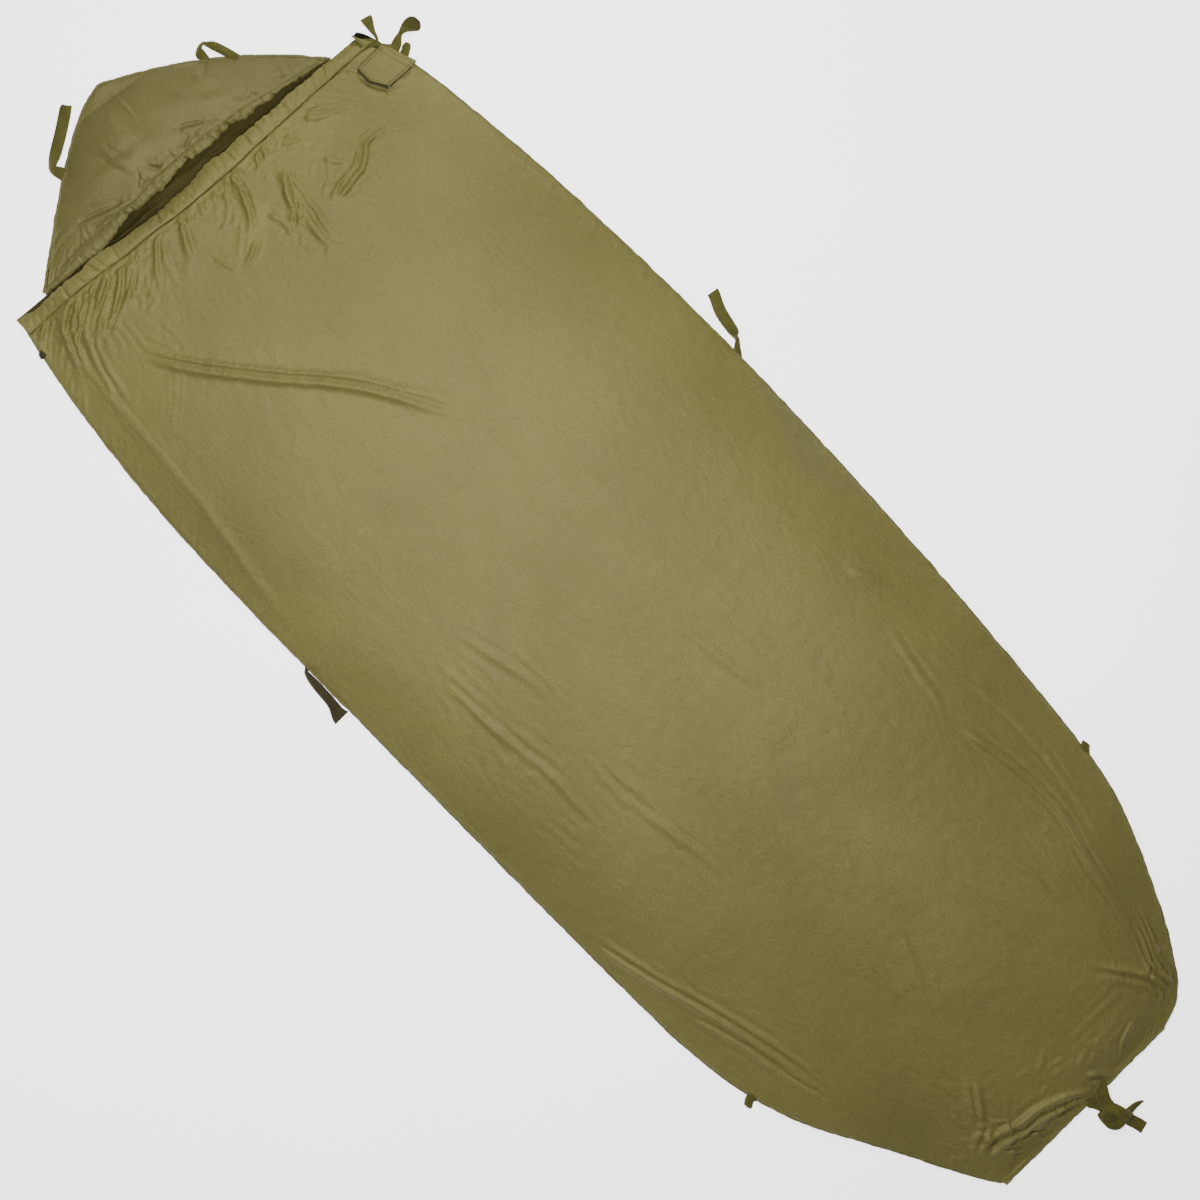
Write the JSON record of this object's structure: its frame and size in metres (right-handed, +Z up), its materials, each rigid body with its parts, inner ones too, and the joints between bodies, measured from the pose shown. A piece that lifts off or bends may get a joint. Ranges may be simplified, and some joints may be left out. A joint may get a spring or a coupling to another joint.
{
  "type": "bivy sack",
  "caption": "Hooded bivy sack laid flat: domed body over a flat back, gathered draw tape hems at the mouth and hood, neck flap and tie tapes.",
  "frame": {"origin": "on the ground under the centre line, half way from the foot seam to the tip of the hood", "axes": "+X across the sack towards the neck flap's side, +Y along the sack towards the hood, +Z up from the ground"},
  "size_m": [0.9171, 2.3609, 0.0623],
  "materials": {
    "cloth": "thin coated nylon with a soft sheen",
    "cloth_back": "thin coated nylon, matt side and seam bindings",
    "tape": "woven nylon tape, matt",
    "thread": "twisted sewing thread",
    "hook_and_loop": "woven hook and loop patches",
    "dark_tape": "woven tape, dark"
  },
  "bodies": {
    "sack": {"back_panel": "cloth_back", "body_top_panel": "cloth", "foot_end_panel": "cloth_back", "side_seam_left": "cloth_back", "side_seam_right": "cloth_back", "foot_seam": "cloth_back", "body_hem_casing": "cloth", "body_hem_stitching": "thread", "body_draw_tape": "tape", "flap_loop_patch": "hook_and_loop", "neck_flap_anchor": "cloth_back", "sack_tie_bartacks": "thread", "corner_tab_left": "dark_tape", "corner_tab_right": "tape"},
    "hood": {"hood_back_panel": "cloth_back", "hood_top_panel": "cloth", "hood_edge_seam": "cloth_back", "hood_hem_casing": "cloth", "hood_hem_stitching": "thread", "hood_draw_tape": "tape", "hood_tie_bartacks": "thread"},
    "neck_flap": {"neck_flap_lining": "cloth_back", "neck_flap_outer": "cloth", "neck_flap_stitching": "thread", "flap_hook_patch": "hook_and_loop"},
    "draw_tape_ends": {"draw_tail_upper": "tape", "draw_tail_lower": "tape"},
    "tie_hood_left": {"tie_hood_left": "tape"},
    "tie_hood_right": {"tie_hood_right": "tape"},
    "tie_side_left": {"tie_side_left": "tape"},
    "tie_side_right": {"tie_side_right": "tape"},
    "tie_lower_left": {"tie_lower_left": "tape"},
    "tie_lower_right": {"tie_lower_right": "tape"},
    "tie_foot": {"tie_foot_legs": "tape", "tie_foot_knot": "tape", "tie_foot_ends": "tape"}
  },
  "joints": [
    {"name": "hood_fold", "type": "hinge", "parent": "sack", "child": "hood", "pos_m": [0, 0.921, 0.002], "axis": [0.9963, -0.0857, 0], "range_deg": [0, 35]},
    {"name": "flap_open", "type": "hinge", "parent": "sack", "child": "neck_flap", "pos_m": [0.37672, 0.797, 0.0098], "axis": [-0.2504, 0.9681, 0], "range_deg": [0, 150]},
    {"name": "draw_tape_pull", "type": "slide", "parent": "sack", "child": "draw_tape_ends", "axis": [0.9963, -0.0857, 0], "range_m": [0, 0.045]},
    {"name": "tie_hood_left_swing", "type": "hinge", "parent": "hood", "child": "tie_hood_left", "pos_m": [-0.14464, 1.06254, 0.0032], "axis": [0.848, 0.53, 0], "range_deg": [0, 110]},
    {"name": "tie_hood_right_swing", "type": "hinge", "parent": "hood", "child": "tie_hood_right", "pos_m": [0.14996, 1.03221, 0.0032], "axis": [0.7931, -0.6091, 0], "range_deg": [0, 120]},
    {"name": "tie_side_left_swing", "type": "hinge", "parent": "sack", "child": "tie_side_left", "pos_m": [-0.41749, 0.19, 0.0032], "axis": [0, 1, 0], "range_deg": [0, 95]},
    {"name": "tie_side_right_swing", "type": "hinge", "parent": "sack", "child": "tie_side_right", "pos_m": [0.41736, 0.1, 0.0032], "axis": [0, -1, 0], "range_deg": [0, 120]},
    {"name": "tie_lower_left_swing", "type": "hinge", "parent": "sack", "child": "tie_lower_left", "pos_m": [-0.3875, -0.752, 0.0032], "axis": [-0.28, 0.96, 0], "range_deg": [0, 110]},
    {"name": "tie_lower_right_swing", "type": "hinge", "parent": "sack", "child": "tie_lower_right", "pos_m": [0.37, -0.722, 0.0032], "axis": [-0.1903, -0.9817, 0], "range_deg": [0, 110]},
    {"name": "tie_foot_swing", "type": "hinge", "parent": "sack", "child": "tie_foot", "pos_m": [0, -1.1254, 0.011], "axis": [-1, 0, 0], "range_deg": [0, 100]}
  ]
}
